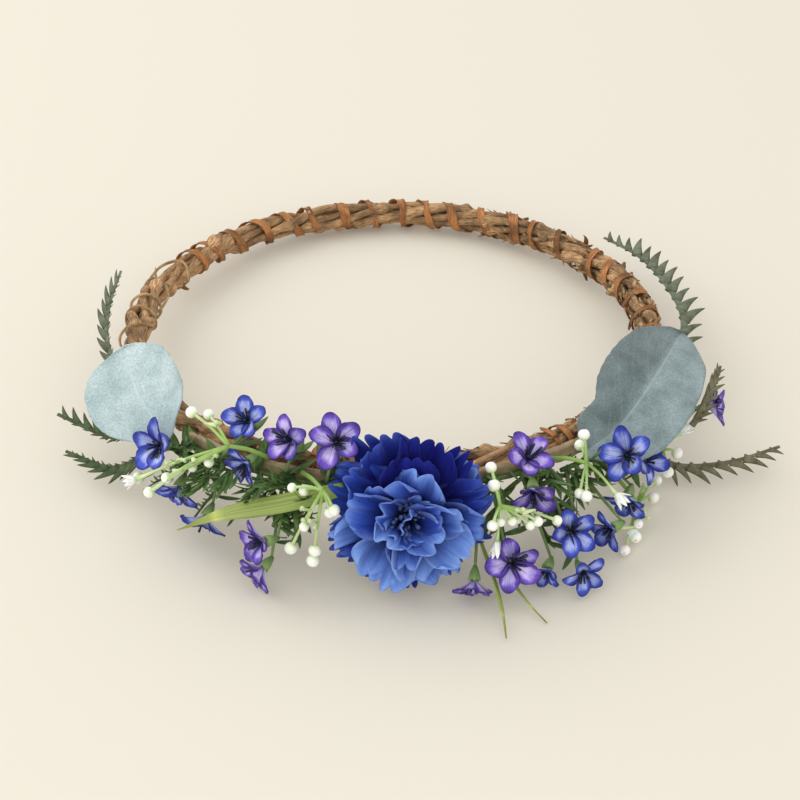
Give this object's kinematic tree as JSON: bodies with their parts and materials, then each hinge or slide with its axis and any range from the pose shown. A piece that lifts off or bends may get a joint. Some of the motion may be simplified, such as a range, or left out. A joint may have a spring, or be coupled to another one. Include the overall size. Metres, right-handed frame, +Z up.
{
  "type": "flower crown",
  "caption": "Head wreath of twisted vine bound with bark strips, with artificial blue and violet flowers, berries, ferns and felted leaves along its front.",
  "frame": {"origin": "middle of the crown's bounding footprint, on the surface it rests on", "axes": "+Z up from the surface, -Y the way the flowers face, +X to the right of someone who looks at the flowers"},
  "size_m": [0.2512, 0.2368, 0.0574],
  "materials": {
    "vine": "dry twisted vine, matt with fine ridges",
    "bark": "peeled bark strip, satin orange-brown",
    "tendril": "thin dry tendril, matt tan",
    "glue": "clear-amber hot glue, glossy",
    "stem": "moulded stem, matt green",
    "sprig": "moulded sprig, pale green with white berries",
    "leaf": "flocked leaf, grey-green felt",
    "fern": "moulded toothed leaf, grey-green with brown tips",
    "grass": "moulded grass blade, satin olive",
    "bloom": "pressed polyester petals, matt blue",
    "blue": "pressed foam petals, matt blue with pale middle",
    "purple": "pressed foam petals, matt violet with lilac middle",
    "stamen": "moulded stamens, matt dark slate"
  },
  "bodies": {
    "root": {"bark_strip_back": "bark", "bark_strip_left": "bark", "bark_strip_right": "bark", "berry_sprig_far_left": "sprig", "berry_sprig_far_right": "sprig", "berry_sprig_left": "sprig", "berry_sprig_right": "sprig", "berry_sprig_right_end": "sprig", "berry_sprig_right_low": "sprig", "bloom_calyx": "stem", "bloom_petals_inner": "bloom", "bloom_petals_middle": "bloom", "bloom_petals_outer": "bloom", "bloom_stamens": "stamen", "broad_leaf_left": "leaf", "broad_leaf_right": "leaf", "fern_left_lower": "fern", "fern_left_middle": "fern", "fern_left_upper": "fern", "fern_right_lower": "fern", "fern_right_side": "fern", "fern_right_upper": "fern", "flower_left_1": "blue", "flower_left_2": "blue", "flower_left_3": "blue", "flower_left_4": "blue", "flower_left_5": "blue", "flower_left_6": "purple", "flower_left_7": "purple", "flower_left_8": "purple", "flower_left_9": "purple", "flower_right_1": "purple", "flower_right_10": "blue", "flower_right_11": "blue", "flower_right_12": "purple", "flower_right_2": "purple", "flower_right_3": "blue", "flower_right_4": "blue", "flower_right_5": "blue", "flower_right_6": "blue", "flower_right_7": "blue", "flower_right_8": "purple", "flower_right_9": "purple", "flower_stem_far_left": "stem", "flower_stem_far_right": "stem", "flower_stem_left": "stem", "flower_stem_right": "stem", "foliage_left": "stem", "glue_bed_left": "glue", "glue_bed_right": "glue", "grass_blade_front": "grass", "grass_blade_long": "grass", "grass_blade_short": "grass", "tendril_tie": "tendril", "vine_core": "vine", "vine_strand_1": "vine", "vine_strand_2": "vine", "vine_strand_3": "vine", "vine_strand_4": "vine", "vine_strand_5": "vine"}
  },
  "joints": []
}
